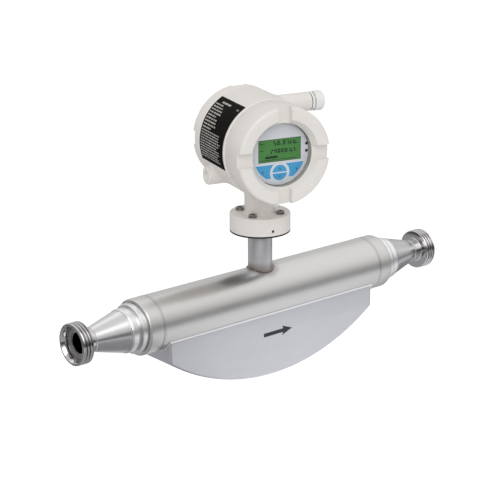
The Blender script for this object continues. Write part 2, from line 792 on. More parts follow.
# Finish, colour slot and names of the solids that stay as they are
KEPT_SOLIDS = (
    ("mirror_steel", "polished_steel", ("measuring_tube_front", "measuring_tube_rear")),
    ("turned_steel", "polished_steel", ("inlet_brace_plate", "outlet_brace_plate", "swivel_plate")),
    ("collar_steel", "satin_steel", ("inlet_splitter", "outlet_splitter")),
    ("copper_winding", "coil", ("drive_coil", "inlet_pickoff_coil", "outlet_pickoff_coil")),
    ("magnet_metal", "magnet", ("drive_magnet", "inlet_pickoff_magnet", "outlet_pickoff_magnet")),
    ("sensor_ceramic", "ceramic", ("temperature_sensor",)),
    ("gold_header", "header", ("feedthrough", "ground_screw")),
    ("white_washer", "white_plastic", ("thrust_washer",)),
    ("black_rubber", "seal_black", ("swivel_o_ring", "front_o_ring", "rear_o_ring", "plug_o_ring")),
    ("black_rubber", "seal_black", ("gland_gasket", "gland_seal", "gland_dust_disc")),
    ("black_oxide", "dark_screw", ("swivel_lock_screw",)),
    ("retainer_grey", "clamp_black", ("window_retainer",)),
    ("cast_potting", "potting", ("electronics_module",)),
    ("terminal_plastic", "terminal_green", ("terminal_block",)),
    ("zinc_screw", "plain_screw", ("terminal_screws",)),
    ("gland_plastic", "gland_grey", ("gland_body",)),
)


# ---------------------------------------------------------------- process ends


def round_thread(obj, start, end, radius, pitch, depth):
    """Sinks a right-handed round thread into the turned surface between two heights."""

    def rule(points):
        reach = np.hypot(points[:, 0], points[:, 1])
        turn = np.arctan2(points[:, 1], points[:, 0]) / (2 * math.pi)
        height = points[:, 2]
        on = (np.abs(reach - radius) < 0.05) & (height > start - 0.01) & (height < end + 0.01)
        wave = 0.5 - 0.5 * np.cos(2 * math.pi * (height / pitch - turn))
        fade = np.clip((height - start) / (0.35 * pitch), 0, 1) * np.clip((end - height) / (0.35 * pitch), 0, 1)
        scale = np.where(on, (radius - depth * wave * fade) / np.maximum(reach, 1e-6), 1.0)
        points[:, :2] *= scale[:, None]
        return points

    move_points(obj, rule)


def stations(radius, start, end, count):
    """Points along a straight wall, close enough for a thread to be sunk into it."""
    return [(radius, start + (end - start) * i / count) for i in range(count + 1)]


def circle_path(radius, height, count):
    angles = [2 * math.pi * i / count for i in range(count)]
    return [(radius * math.cos(a), radius * math.sin(a), height) for a in angles]


def ring_weld(name, radius, height, proud, width, count):
    """A rippled weld bead around a turned surface of that radius."""
    obj = bead(name, circle_path(radius - 0.1 * width, height, count), width / 2)
    squeeze = proud / (0.4 * width)

    def rule(points):
        reach = np.hypot(points[:, 0], points[:, 1])
        points[:, :2] *= ((radius + (reach - radius) * squeeze) / reach)[:, None]
        return points

    move_points(obj, rule)
    return obj


def fitting_profile():
    """Mouth, thread, neck, bore, lip and seat of the male fitting, from its face inwards."""
    mouth = [(22.5, 0.3), (22.8, 0.0), (24.6, 0.0), (25.0, 0.12), (THREAD_R - 0.15, 0.97)]
    thread = stations(THREAD_R, THREAD_START + 0.15, THREAD_END - 0.15, 56)
    shoulder = [(THREAD_R - 0.15, 14.6), (25.1, 15.4), (24.8, 15.5), (PIPE_R + 1.6, 15.5)]
    neck = arc(PIPE_R + 1.6, 17.1, 1.6, -90, -180, 6)[1:] + [(PIPE_R, FITTING_LENGTH), (BORE_R, FITTING_LENGTH)]
    lip = [(BORE_R, 10.7), (BORE_R + 0.2, 10.5), (14.6, 10.5), (14.8, 10.7)]
    return mouth + thread + shoulder + neck + lip + [(14.8, SEAT_DEPTH), (SEAT_R, SEAT_DEPTH), (SEAT_R, 9.0)]


def seal_profile():
    """Moulded seal ring around the fitting's lip, with a bead on each side of its face."""
    outside = [(19.5, 9.12), (19.94, 9.5), (19.94, SEAT_DEPTH)]
    return [(14.86, SEAT_DEPTH), (14.86, 9.5), (15.3, 9.12), (17.4, 9.0)] + outside


def reducer_profile():
    """Cone between the fitting's neck and the collar."""
    start = [(PIPE_R, FITTING_LENGTH), (PIPE_R, FITTING_LENGTH + 1.2), (PIPE_R + 0.25, FITTING_LENGTH + 2.4)]
    end = [(COLLAR_R - 0.5, 67.4), (COLLAR_R - 0.15, 68.9), (COLLAR_R, REDUCER_END), (COLLAR_R - 2, REDUCER_END)]
    return start + end + [(BORE_R, FITTING_LENGTH)]


class METER_OT_process_ends(bpy.types.Operator):
    """Models both threaded ends with their seals, cones and welds"""

    bl_idname = "meter.process_ends"
    bl_label = "Process Ends"

    def execute(self, context):
        proud = setting("weld_height")
        for end, place in (("inlet", INLET), ("outlet", OUTLET)):
            fitting = turned(end + "_threaded_fitting", fitting_profile(), 180)
            pitch, depth = setting("thread_pitch"), setting("thread_depth")
            round_thread(fitting, THREAD_START, THREAD_END, THREAD_R, pitch, depth)
            dress(fitting, "sensor", "polished_steel", "thread_steel", end + "_fitting", matrix=place)
            seal = turned(end + "_seal", seal_profile())
            dress(seal, "sensor", "white_plastic", "pale_seal", end + "_seal_ring", matrix=place)
            cone = turned(end + "_cone", reducer_profile(), 180)
            dress(cone, "sensor", "polished_steel", "mirror_steel", end + "_reducer", matrix=place)
            neck = ring_weld(end + "_neck_weld", PIPE_R, FITTING_LENGTH, proud * 0.6, width=3.2, count=240)
            dress(neck, "sensor", "polished_steel", "weld_metal", matrix=place)
            collar = ring_weld(end + "_collar_weld", COLLAR_R, REDUCER_END + 0.4, proud, width=3.0, count=480)
            dress(collar, "sensor", "satin_steel", "weld_metal", matrix=place)
        return {"FINISHED"}


# ---------------------------------------------------------------- sensor body


def rounded_tube():
    """Section of the housing tube with its rolled edges."""
    edge, bore_r = 2.4, TUBE_R - 3
    length = TUBE_END - TUBE_START
    start = arc(TUBE_R - edge, edge, edge, -90, 0, 8)
    end = arc(TUBE_R - edge, length - edge, edge, 0, 90, 8)
    wall = stations(TUBE_R, edge, length - edge, 24)[1:-1]
    return [(bore_r, 0)] + start + wall + end + [(bore_r, length)]


def belly_outline():
    """Side view of the belly: up to inside the tube, and an arc below."""
    half = (BELLY_END - BELLY_START) / 2
    sweep = math.degrees(math.asin(half / BELLY_ARC_R))
    low = arc(MID_X, BELLY_ARC_R - BELLY_DEPTH, BELLY_ARC_R, -90 - sweep, -90 + sweep, 110)
    return [(BELLY_START, BELLY_TOP)] + low + [(BELLY_END, BELLY_TOP)]


def belly_seam():
    """Closed path of the weld between the belly and the tube."""
    step = 0.55
    z = -math.sqrt(TUBE_R**2 - BELLY_HALF**2)
    angle = math.asin(BELLY_HALF / TUBE_R)
    along = int((BELLY_END - BELLY_START) / step)
    around = int(2 * angle * TUBE_R / step)
    front = [(BELLY_START + i * step, -BELLY_HALF - 0.35, z + 0.25) for i in range(along)]
    swing = [-angle + 2 * angle * i / around for i in range(1, around)]
    right = [(BELLY_END + 0.3, TUBE_R * math.sin(a), -TUBE_R * math.cos(a) - 0.3) for a in swing]
    rear = [(BELLY_END - i * step, BELLY_HALF + 0.35, z + 0.25) for i in range(along)]
    left = [(BELLY_START - 0.3, -TUBE_R * math.sin(a), -TUBE_R * math.cos(a) - 0.3) for a in swing]
    return front + right + rear + left


def arrow_outline(length):
    """Flow arrow pointing along +X, centred."""
    tip, head, wing, shaft = length / 2, 15.0, 6.4, 2.5
    neck = tip - head
    upper = [(tip, 0), (neck - 1.5, wing), (neck, shaft), (-tip, shaft)]
    return upper + [(x, -y) for x, y in reversed(upper[1:])]


class METER_OT_sensor_body(bpy.types.Operator):
    """Models the housing tube, its seams, the belly and the flow arrow"""

    bl_idname = "meter.sensor_body"
    bl_label = "Sensor Body"

    def execute(self, context):
        tube = turned("outer_tube", rounded_tube(), 192)
        dress(tube, "sensor", "satin_steel", "tube_steel", "housing_tube", matrix=across(TUBE_START))
        for end, x in (("inlet", TUBE_START + SEAM_INSET), ("outlet", TUBE_END - SEAM_INSET)):
            proud = setting("weld_height") * 0.45
            seam = ring_weld(end + "_tube_weld", TUBE_R, 0, proud, width=1.9, count=700)
            dress(seam, "sensor", "satin_steel", "seam_metal", matrix=across(x))
        self.belly()
        dress(bead("belly_weld", belly_seam(), 1.6), "sensor", "satin_steel", "bright_weld", matrix=TO_METRES)
        arrow = plate("flow_arrow", arrow_outline(setting("arrow_length")), 0, 0.12, 0.04, 1)
        place = TO_METRES @ Matrix.Translation((MID_X + ARROW_SHIFT, 0.02 - BELLY_HALF, ARROW_Z)) @ TO_FRONT
        dress(arrow, "sensor", "seal_black", "arrow_black", matrix=place)
        return {"FINISHED"}

    def belly(self):
        """Two side sheets and an arc below, open under the tube."""
        obj = plate("belly_sheet", belly_outline(), -BELLY_HALF, BELLY_HALF)
        edit(obj)
        rim = 2 * BELLY_HALF - 2e-3

        def outer_edge(e):
            low, high = e.verts
            return abs(low.co.z + high.co.z) > rim and min(low.co.y, high.co.y) < BELLY_TOP - 0.5

        choose(obj, "EDGE", outer_edge)
        bpy.ops.mesh.bevel(offset=BELLY_EDGE_R, segments=5, affect="EDGES")
        choose(obj, "FACE", lambda f: all(v.co.y > BELLY_TOP - 0.1 for v in f.verts))
        bpy.ops.mesh.delete(type="FACE")
        leave_edit()
        wall = obj.modifiers.new("wall", "SOLIDIFY")
        wall.thickness = BELLY_WALL
        wall.offset = -1
        pick(obj)
        bpy.ops.object.modifier_apply(modifier=wall.name)
        dress(obj, "sensor", "satin_steel", "belly_steel", "belly_shell", matrix=TO_METRES @ TO_FRONT)


class METER_OT_stem(bpy.types.Operator):
    """Models the stem and the saddle weld at its foot"""

    bl_idname = "meter.stem"
    bl_label = "Stem"

    def execute(self, context):
        profile = [(STEM_BORE_R, STEM_START), (STEM_R, STEM_START), (STEM_R, STEM_TOP - 0.6)]
        profile += [(STEM_R - 0.3, STEM_TOP), (STEM_BORE_R, STEM_TOP)]
        dress(turned("stem_pipe", profile), "sensor", "satin_steel", "stem_steel", "stem", matrix=AT_STEM)
        ring = circle_path(STEM_R + 0.35, 0.25, 300)
        saddle = [(x, y, math.sqrt(TUBE_R**2 - y * y) + lift) for x, y, lift in ring]
        weld = bead("stem_weld", saddle, 1.7, ripple=0.12)
        dress(weld, "sensor", "satin_steel", "scorched_weld", matrix=AT_STEM)
        return {"FINISHED"}


# ---------------------------------------------------------------- housing


def at_screws():
    """Places of the four clamp screws about the foot's axis."""
    places = []
    for quarter in range(4):
        turn = Matrix.Rotation(math.radians(45 + 90 * quarter), 4, "Z")
        places.append(turn @ Matrix.Translation((CLAMP_PCD / 2, 0, FOOT_TOP - SPOT_FACE_DEPTH)))
    return places


def flare(fillet, radius, base, side):
    """Stations of a fillet from a round wall out to a surface at height base; side is -1 from below it."""
    angles = [math.radians(90 * i / 10) for i in range(11)]
    return [(radius + fillet * (1 - math.cos(a)), base + side * fillet * (1 - math.sin(a))) for a in angles]


def lock_screw_place(seam, end):
    """Upright axis of a lug's screw, midway along its part under the cover's rim."""
    return Matrix.Translation((0, -LUG_DROP, (seam + 0.5 + end) / 2 + LUG_WEB))


class METER_OT_housing(bpy.types.Operator):
    """Models the casting: drum with two compartments, neck, foot, cable bosses and screw lugs"""

    bl_idname = "meter.housing"
    bl_label = "Transmitter Housing"

    def execute(self, context):
        parts = [self.drum(), self.foot(), self.boss(1, RIGHT_BOSS_END), self.boss(-1, LEFT_BOSS_END)]
        parts += self.lug("front", FRONT, HOUSING_FRONT, FRONT_LUG_END)
        parts += self.lug("rear", UNDER_REAR, HOUSING_REAR, REAR_LUG_END)
        for part in parts:
            pick(part)
            bpy.ops.object.shade_smooth_by_angle(angle=SMOOTH_ANGLE)
        casting = join("housing_casting", parts)
        dress(casting, "transmitter", "paint", "housing_paint", "transmitter_housing")
        return {"FINISHED"}

    def drum(self):
        """Round drum with a compartment at each end and a wall between them."""
        edge = 1.5
        front = arc(HOUSING_R - edge, HOUSING_FRONT - edge, edge, 90, 0, 6)
        rear = arc(HOUSING_R - edge, edge - HOUSING_REAR, edge, 0, -90, 6)
        inside = COMPARTMENT_R
        profile = [(0, -2.0), (inside, -2.0), (inside, HOUSING_FRONT - 0.6), (inside + 0.6, HOUSING_FRONT)]
        profile += front + stations(HOUSING_R, HOUSING_FRONT - edge, edge - HOUSING_REAR, 12)[1:-1] + rear
        profile += [(inside + 0.6, -HOUSING_REAR), (inside, 0.6 - HOUSING_REAR), (inside, -8.0), (0, -8.0)]
        obj = turned("drum", profile, 192)
        obj.data.transform(FRONT)
        return obj

    def foot(self):
        """Foot and neck, the neck's flare fitted to the round drum."""
        base = AXIS_Z - HOUSING_R
        fillet = setting("fillet")
        low = [(0, RECESS_TOP), (RECESS_R, RECESS_TOP), (RECESS_R, FOOT_BORE_TOP)]
        low += [(FOOT_BORE_R, FOOT_BORE_TOP), (FOOT_BORE_R, FOOT_BOTTOM)]
        side = [(FOOT_R - 0.4, FOOT_BOTTOM), (FOOT_R, FOOT_BOTTOM + 0.4), (FOOT_R, FOOT_GROOVE_LOW)]
        groove_r = FOOT_R - FOOT_GROOVE_DEPTH
        side += [(groove_r, FOOT_GROOVE_LOW + 0.15), (groove_r, FOOT_GROOVE_HIGH - 0.15), (FOOT_R, FOOT_GROOVE_HIGH)]
        edge, corner = 1.4, 2.5
        top = arc(FOOT_R - edge, FOOT_TOP - edge, edge, 0, 90, 6)
        neck = arc(NECK_R + corner, FOOT_TOP + corner, corner, -90, -180, 6) + flare(fillet, NECK_R, base, -1)
        reach = NECK_R + fillet
        neck += [(reach + 1.1, base + 0.15), (reach + 1.3, base + 2.5), (0, base + 2.5)]
        obj = turned("foot", low + side + top + neck, 160)

        def follow_drum(points):
            lift = HOUSING_R - np.sqrt(HOUSING_R**2 - np.clip(points[:, 0], -60, 60) ** 2)
            points[:, 2] += np.where(points[:, 2] > base - fillet - 0.01, lift, 0)
            return points

        move_points(obj, follow_drum)
        spot_faces = [rod(SPOT_FACE_R, 8, place @ Matrix.Translation((0, 0, 4)), 64) for place in at_screws()]
        hole = rod(SWIVEL_LOCK_R, 20, Matrix.Translation((0, -FOOT_R, SWIVEL_LOCK_Z)) @ TO_FRONT)
        cut(obj, *spot_faces, hole)
        obj.data.transform(IN_FOOT)
        return obj

    def boss(self, side, end):
        """Cable boss with its bore, its skirt fitted to the round drum."""
        fillet, bore = 3.5, 9.6
        base = math.sqrt(HOUSING_R**2 - BOSS_OFFSET**2)
        reach = BOSS_R + fillet
        profile = [(0, end - 14), (bore, end - 14), (bore, end - 0.7), (bore + 0.7, end)]
        profile += [(BOSS_R - 0.8, end), (BOSS_R - 0.25, end - 0.2), (BOSS_R, end - 0.8)]
        profile += flare(fillet, BOSS_R, base, 1)
        profile += [(reach + 1, base - 0.15), (reach + 1.2, base - 2.5), (0, base - 2.5)]
        obj = turned("boss", profile, 128)

        def follow_drum(points):
            height = np.clip(BOSS_OFFSET - points[:, 0], -61, 61)
            shift = np.sqrt(HOUSING_R**2 - height**2) - base
            points[:, 2] += np.where(points[:, 2] < base + fillet + 0.01, shift, 0)
            return points

        move_points(obj, follow_drum)
        obj.data.transform(on_boss(side))
        return obj

    def lug(self, name, matrix, seam, end):
        """Round bar under a cover's rim for its grub screw, and the web that joins it to the drum."""
        profile = [(0, LUG_START), (LUG_R - 0.4, LUG_START), (LUG_R, LUG_START + 0.4)] + arc(0, end, LUG_R, 0, 90, 9)
        bar = turned(name + "_lug", profile, 48)
        bar.data.transform(Matrix.Translation((0, -LUG_DROP, 0)))
        cut(bar, rod(LOCK_HOLE_R, 4 * LUG_R, lock_screw_place(seam, end) @ TO_FRONT, 40))
        low, high = (-LUG_WEB, 0.5 - LUG_DROP, LUG_START + 0.2), (LUG_WEB, -58.0, seam - 0.7)
        web = block(name + "_web", low, high, 0.5)
        for piece in (bar, web):
            piece.data.transform(matrix)
        return [bar, web]


def socket_screw(name, radius, height, shank, length, flats):
    """Cap screw standing on Z = 0 with its hexagon socket."""
    edge, socket_r = 0.5, flats * 0.64
    profile = [(0, -length), (shank - 0.4, -length), (shank, 0.4 - length), (shank, 0)]
    profile += [(radius - 0.15, 0), (radius, 0.2)] + arc(radius - edge, height - edge, edge, 0, 90, 4)
    profile += [(socket_r, height), (flats * 0.60, height - 0.3), (0, height - 0.3)]
    return cut(turned(name, profile, 48), hexagon(flats, height, height))


class METER_OT_foot_hardware(bpy.types.Operator):
    """Models the clamp ring and its four cap screws"""

    bl_idname = "meter.foot_hardware"
    bl_label = "Foot Hardware"

    def execute(self, context):
        ring = [(18.3, 83.2), (38.0, 83.2), (FOOT_R, 83.45), (FOOT_R, 84.95), (38.1, FOOT_BOTTOM), (34.0, FOOT_BOTTOM)]
        ring += [(34.0, 88.0), (22.8, 88.0), (22.8, FOOT_BOTTOM), (18.3, FOOT_BOTTOM)]
        ring = turned("clamping_ring", ring)
        dress(ring, "transmitter", "clamp_black", "black_oxide", "clamp_ring", matrix=IN_FOOT)
        screw = socket_screw("cap_screw", radius=5.1, height=4.3, shank=2.95, length=21.0, flats=5.0)
        copies = [copy_of(screw, f"cap_screw_{i}", place) for i, place in enumerate(at_screws())]
        bpy.data.objects.remove(screw)
        dress(join("cap_screws", copies), "transmitter", "dark_screw", "aged_screw", "clamp_screws", matrix=IN_FOOT)
        return {"FINISHED"}


# ---------------------------------------------------------------- covers


def cover_thread(seam):
    """Heights between which a cover's spigot is threaded."""
    return seam - 11.3, seam - 0.6


def cover_wall(seam, radius, face):
    """Threaded spigot with the groove of its sealing ring, seam, and wall up to the rounded face edge."""
    edge = 3.4
    thread = stations(SPIGOT_R, *cover_thread(seam), 44)
    groove = [(SPIGOT_R, seam + 2.6), (COVER_GROOVE_R, seam + 2.6), (COVER_GROOVE_R, seam)]
    rim = [(radius - 1, seam), (radius - 0.3, seam + 0.3), (radius, seam + 1)]
    wall = arc(radius - edge, face - edge, edge, 0, 90, 8)
    return [(SPIGOT_BORE_R, seam - 12), (SPIGOT_R - 0.7, seam - 12)] + thread + groove + rim + wall


def make_cover(name, profile, seam, face, notch_start):
    """A cover turned from its profile, with its thread and four wrench notches across its face."""
    cover = turned(name, profile, 180)
    round_thread(cover, *cover_thread(seam), SPIGOT_R, COVER_THREAD_PITCH, COVER_THREAD_DEPTH)
    tools = []
    for quarter in range(4):
        tool = block("notch", (notch_start, -NOTCH_WIDTH / 2, face - NOTCH_DEPTH), (80, NOTCH_WIDTH / 2, face + 2))
        tool.data.transform(Matrix.Rotation(math.radians(90 * quarter), 4, "Z"))
        tools.append(tool)
    return cut(cover, join("notches", tools))


class METER_OT_front_cover(bpy.types.Operator):
    """Models the front cover and its window"""

    bl_idname = "meter.front_cover"
    bl_label = "Front Cover"

    def execute(self, context):
        opening = [(45.7, FRONT_FACE), (45.05, FRONT_FACE - 0.2), (44.6, FRONT_FACE - 0.75), (39.6, WINDOW_FRONT)]
        seat_r = WINDOW_R + 0.3
        seat = [(seat_r, WINDOW_FRONT), (seat_r, WINDOW_REAR), (SPIGOT_BORE_R, WINDOW_REAR)]
        profile = cover_wall(COVER_FRONT, FRONT_COVER_R, FRONT_FACE) + opening + seat
        cover = make_cover("front_bezel", profile, COVER_FRONT, FRONT_FACE, 38.6)
        dress(cover, "front_cover", "paint", "housing_paint", "front_cover", matrix=FRONT)
        glass = [(0, WINDOW_REAR), (WINDOW_R - 0.3, WINDOW_REAR), (WINDOW_R, WINDOW_REAR + 0.3)]
        glass += [(WINDOW_R, WINDOW_FRONT - 0.3), (WINDOW_R - 0.3, WINDOW_FRONT), (0, WINDOW_FRONT)]
        window = turned("cover_window", glass)
        dress(window, "front_cover", "window", "window_glass", "front_window", matrix=FRONT)
        return {"FINISHED"}


class METER_OT_rear_cover(bpy.types.Operator):
    """Models the blind rear cover"""

    bl_idname = "meter.rear_cover"
    bl_label = "Rear Cover"

    def execute(self, context):
        groove = [(44.0, REAR_FACE), (43.4, REAR_FACE - 0.5), (42.8, REAR_FACE - 0.5), (42.2, REAR_FACE)]
        inside = [(0, REAR_FACE), (0, REAR_FACE - 3), (SPIGOT_BORE_R, REAR_FACE - 3)]
        profile = cover_wall(REAR_COVER, REAR_COVER_R, REAR_FACE) + groove + inside
        cover = make_cover("rear_cap", profile, REAR_COVER, REAR_FACE, 50.0)
        dress(cover, "rear_cover", "paint", "housing_paint", "rear_cover", matrix=REAR)
        return {"FINISHED"}


# ---------------------------------------------------------------- lock screws


def grub_screw(name, radius, low, high, flats, pitch):
    """Threaded grub screw standing between two heights, its socket at the lower end."""
    profile = [(0, low), (radius - 0.35, low), (radius, low + 0.35)]
    profile += stations(radius, low + 0.4, high - 0.7, 40) + [(radius - 0.7, high), (0, high)]
    obj = turned(name, profile, 48)
    round_thread(obj, low + 0.4, high - 0.7, radius, pitch, pitch * 0.5)
    return cut(obj, hexagon(flats, 2 * flats, low))


class METER_OT_lock_screws(bpy.types.Operator):
    """Models the grub screws that keep the covers from turning"""

    bl_idname = "meter.lock_screws"
    bl_label = "Cover Lock Screws"

    def execute(self, context):
        ends = (
            ("front", FRONT, HOUSING_FRONT, FRONT_LUG_END, FRONT_COVER_R),
            ("rear", UNDER_REAR, HOUSING_REAR, REAR_LUG_END, REAR_COVER_R),
        )
        for end, matrix, seam, lug_end, rim in ends:
            screw = grub_screw(end + "_grub_screw", 1.95, 0.4 - LUG_R, LUG_DROP - rim - 0.6, flats=2.0, pitch=0.7)
            place = matrix @ lock_screw_place(seam, lug_end) @ TO_REAR
            dress(screw, "transmitter", "dark_screw", "black_oxide", end + "_lock_screw", matrix=place)
        return {"FINISHED"}


# ---------------------------------------------------------------- display


SEGMENTS = {"0": "abcdef", "2": "abged", "4": "fgbc", "5": "afgcd"}

# Unit marks beside the figures, as distances in from the panel's upper right corner
UNIT_MARKS = (
    (17.5, 7.8, 16.2, 2.4), (14.5, 7.8, 12.8, 3.6), (11.0, 7.8, 5.5, 6.2), (11.0, 5.2, 7.0, 3.8),
    (15.5, 17.4, 10.5, 15.8), (15.5, 14.8, 12, 13.5), (9.0, 17.4, 7.4, 12.6),
)


def at_lens(side):
    """Place of the upper (1) or lower (-1) optical lens."""
    return Matrix.Translation((LENS_X, PANEL_UP + side * LENS_STEP, DISPLAY_FACE))


def side_key(side):
    """Outline of the left (-1) or right (1) touch key between the ring and the face's edge."""
    inner_top = math.degrees(math.asin((SIDE_KEY_TOP + KEY_DROP) / KEY_RING_R))
    inner_low = math.degrees(math.asin((SIDE_KEY_LOW + KEY_DROP) / KEY_RING_R))
    outer_top = math.degrees(math.asin(SIDE_KEY_TOP / SIDE_KEY_R))
    outer_low = math.degrees(math.asin(SIDE_KEY_LOW / SIDE_KEY_R))
    points = arc(0, -KEY_DROP, KEY_RING_R, inner_top, inner_low, 14) + arc(0, 0, SIDE_KEY_R, outer_low, outer_top, 18)
    return points if side > 0 else [(-x, y) for x, y in reversed(points)]


def half_key(side):
    """Outline of the upper (1) or lower (-1) half of the round pair."""
    dip = math.degrees(math.asin(0.7 / KEY_PAIR_R))
    points = arc(0, 0, KEY_PAIR_R, dip, 180 - dip, 36)
    return [(x, side * y - KEY_DROP) for x, y in (points if side > 0 else reversed(points))]


def grown(points, by):
    """An anticlockwise outline moved outwards by a distance."""
    result = []
    for i, point in enumerate(points):
        before = Vector(point) - Vector(points[i - 1])
        after = Vector(points[(i + 1) % len(points)]) - Vector(point)
        sides = [Vector((edge.y, -edge.x)).normalized() for edge in (before, after)]
        lean = (sides[0] + sides[1]).normalized()
        result.append(tuple(Vector(point) + lean * by / max(0.5, lean.dot(sides[0]))))
    return result


def bar(x0, y0, x1, y1):
    return [(x0, y0), (x1, y0), (x1, y1), (x0, y1)]


def digit(symbol, x, y, width, height, stroke):
    """Outlines of one seven-segment digit with its lower left corner at x, y."""
    half = height / 2
    places = {
        "a": bar(x + stroke, y + height - stroke, x + width - stroke, y + height),
        "b": bar(x + width - stroke, y + half + 0.1, x + width, y + height - 0.2),
        "c": bar(x + width - stroke, y + 0.2, x + width, y + half - 0.1),
        "d": bar(x + stroke, y, x + width - stroke, y + stroke),
        "e": bar(x, y + 0.2, x + stroke, y + half - 0.1),
        "f": bar(x, y + half + 0.1, x + stroke, y + height - 0.2),
        "g": bar(x + stroke, y + half - stroke / 2, x + width - stroke, y + half + stroke / 2),
    }
    return [places[segment] for segment in SEGMENTS[symbol]]


def number_row(text, x, y, width, height, stroke):
    """Outlines of a row of digits; a point takes twice the stroke's width."""
    outlines = []
    for symbol in text:
        if symbol == ".":
            outlines.append(bar(x, y, x + stroke, y + stroke))
            x += 2 * stroke
        else:
            outlines += digit(symbol, x, y, width, height, stroke)
            x += width + 0.9 * stroke
    return outlines


class METER_OT_display(bpy.types.Operator):
    """Models the display: face, panel with its figures, touch keys and lenses"""

    bl_idname = "meter.display"
    bl_label = "Display"

    def execute(self, context):
        self.face()
        self.panel()
        self.keys()
        lenses = []
        for side in (-1, 1):
            lens = turned("lens", [(0, -1.2), (1.95, -1.2), (1.95, -0.2), (1.75, -0.05), (0, -0.01)], 48)
            lens.data.transform(at_lens(side))
            lenses.append(lens)
        dress(join("optical_lenses", lenses), "transmitter", "seal_black", "dark_lens", "sensor_windows", matrix=FRONT)
        return {"FINISHED"}

    def face(self):
        """Round face with its pocket and lens holes, and the body behind it."""
        rear = DISPLAY_FACE - DISPLAY_DISC
        rim = [(DISPLAY_R - 0.3, rear), (DISPLAY_R, rear + 0.3)]
        rim += arc(DISPLAY_R - 0.5, DISPLAY_FACE - 0.5, 0.5, 0, 90, 4)
        disc = turned("face_disc", [(0, rear)] + rim + [(0, DISPLAY_FACE)])
        grow = 0.1
        low = (-PANEL_W / 2 - grow, PANEL_UP - PANEL_H / 2 - grow, DISPLAY_FACE - PANEL_DEPTH)
        high = (PANEL_W / 2 + grow, PANEL_UP + PANEL_H / 2 + grow, DISPLAY_FACE + 1)
        lens_holes = [rod(2.0, 2.4, at_lens(side)) for side in (-1, 1)]
        cut(disc, block("panel_pocket", low, high), *lens_holes)
        body = block("display_body", (-25, -23.5, 26.0), (25, 23.5, rear - 0.02), 0.8)
        module = join("display_housing", [disc, body])
        dress(module, "transmitter", "face_grey", "face_silver", "display_module", matrix=FRONT)

    def panel(self):
        """Green panel with its figures, marks and border lines."""
        left, right = -PANEL_W / 2, PANEL_W / 2
        low, top = PANEL_UP - PANEL_H / 2, PANEL_UP + PANEL_H / 2
        glass = plate("panel", bar(left, low, right, top), DISPLAY_FACE - PANEL_DEPTH, DISPLAY_FACE - PANEL_SINK, 0.15)
        dress(glass, "transmitter", "lcd", "panel_green", "lcd_panel", matrix=FRONT)
        figures = number_row("50.0", left + 20.5, top - 8.0, width=3.5, height=5.9, stroke=1.45)
        figures += number_row("24000", left + 16.3, top - 17.6, width=3.5, height=5.4, stroke=1.45)
        figures += [bar(right - a, top - b, right - c, top - d) for a, b, c, d in UNIT_MARKS]
        figures += [bar(left + 2.5, top - 5.4, left + 7.5, top - 4.2)]
        figures += [bar(left + 2.5, top - 13.8, left + 6.5, top - 12.6)]
        figures += [bar(left + 9, low + 4.4, left + 26, low + 7.4), bar(left + 3, low + 2.2, right - 6, low + 2.9)]
        figures += [bar(left, low, left + 0.8, top), bar(right - 0.5, low, right, top)]
        figures += [bar(left, top - 0.7, right, top), bar(left, low, right, low + 0.6)]
        surface = DISPLAY_FACE - PANEL_SINK
        ink = join("panel_figures", [plate("figure", points, surface, surface + 0.08) for points in figures])
        dress(ink, "transmitter", "lcd", "panel_ink", matrix=FRONT, smooth=False)

    def keys(self):
        """Four touch keys, each with a border and a pointer."""
        outlines = [side_key(-1), side_key(1), half_key(1), half_key(-1)]
        frames = [
            plate("key_frame", grown(points, 0.55), DISPLAY_FACE - 0.02, DISPLAY_FACE + 0.10, 0.05, 1)
            for points in outlines
        ]
        dress(join("key_frames", frames), "transmitter", "white_plastic", "key_border", matrix=FRONT)
        pads = [plate("key_pad", points, DISPLAY_FACE - 0.55, DISPLAY_FACE + 0.22, 0.12) for points in outlines]
        dress(join("key_pads", pads), "transmitter", "key_blue", "touch_blue", "touch_keys", matrix=FRONT)
        marks = []
        pointer = [(1.9, 0), (-1.1, 1.9), (-1.1, -1.9)]
        for angle, x, y in ((90, 0, 5.0), (-90, 0, -5.0), (180, -23.0, 2.4), (0, 23.0, 2.4)):
            lie, rise = math.cos(math.radians(angle)), math.sin(math.radians(angle))
            points = [(x + a * lie - b * rise, y - KEY_DROP + a * rise + b * lie) for a, b in pointer]
            marks.append(plate("key_mark", points, DISPLAY_FACE + 0.2, DISPLAY_FACE + 0.27))
        dress(join("key_marks", marks), "transmitter", "seal_black", "key_mark", matrix=FRONT, smooth=False)


# ---------------------------------------------------------------- cable entries


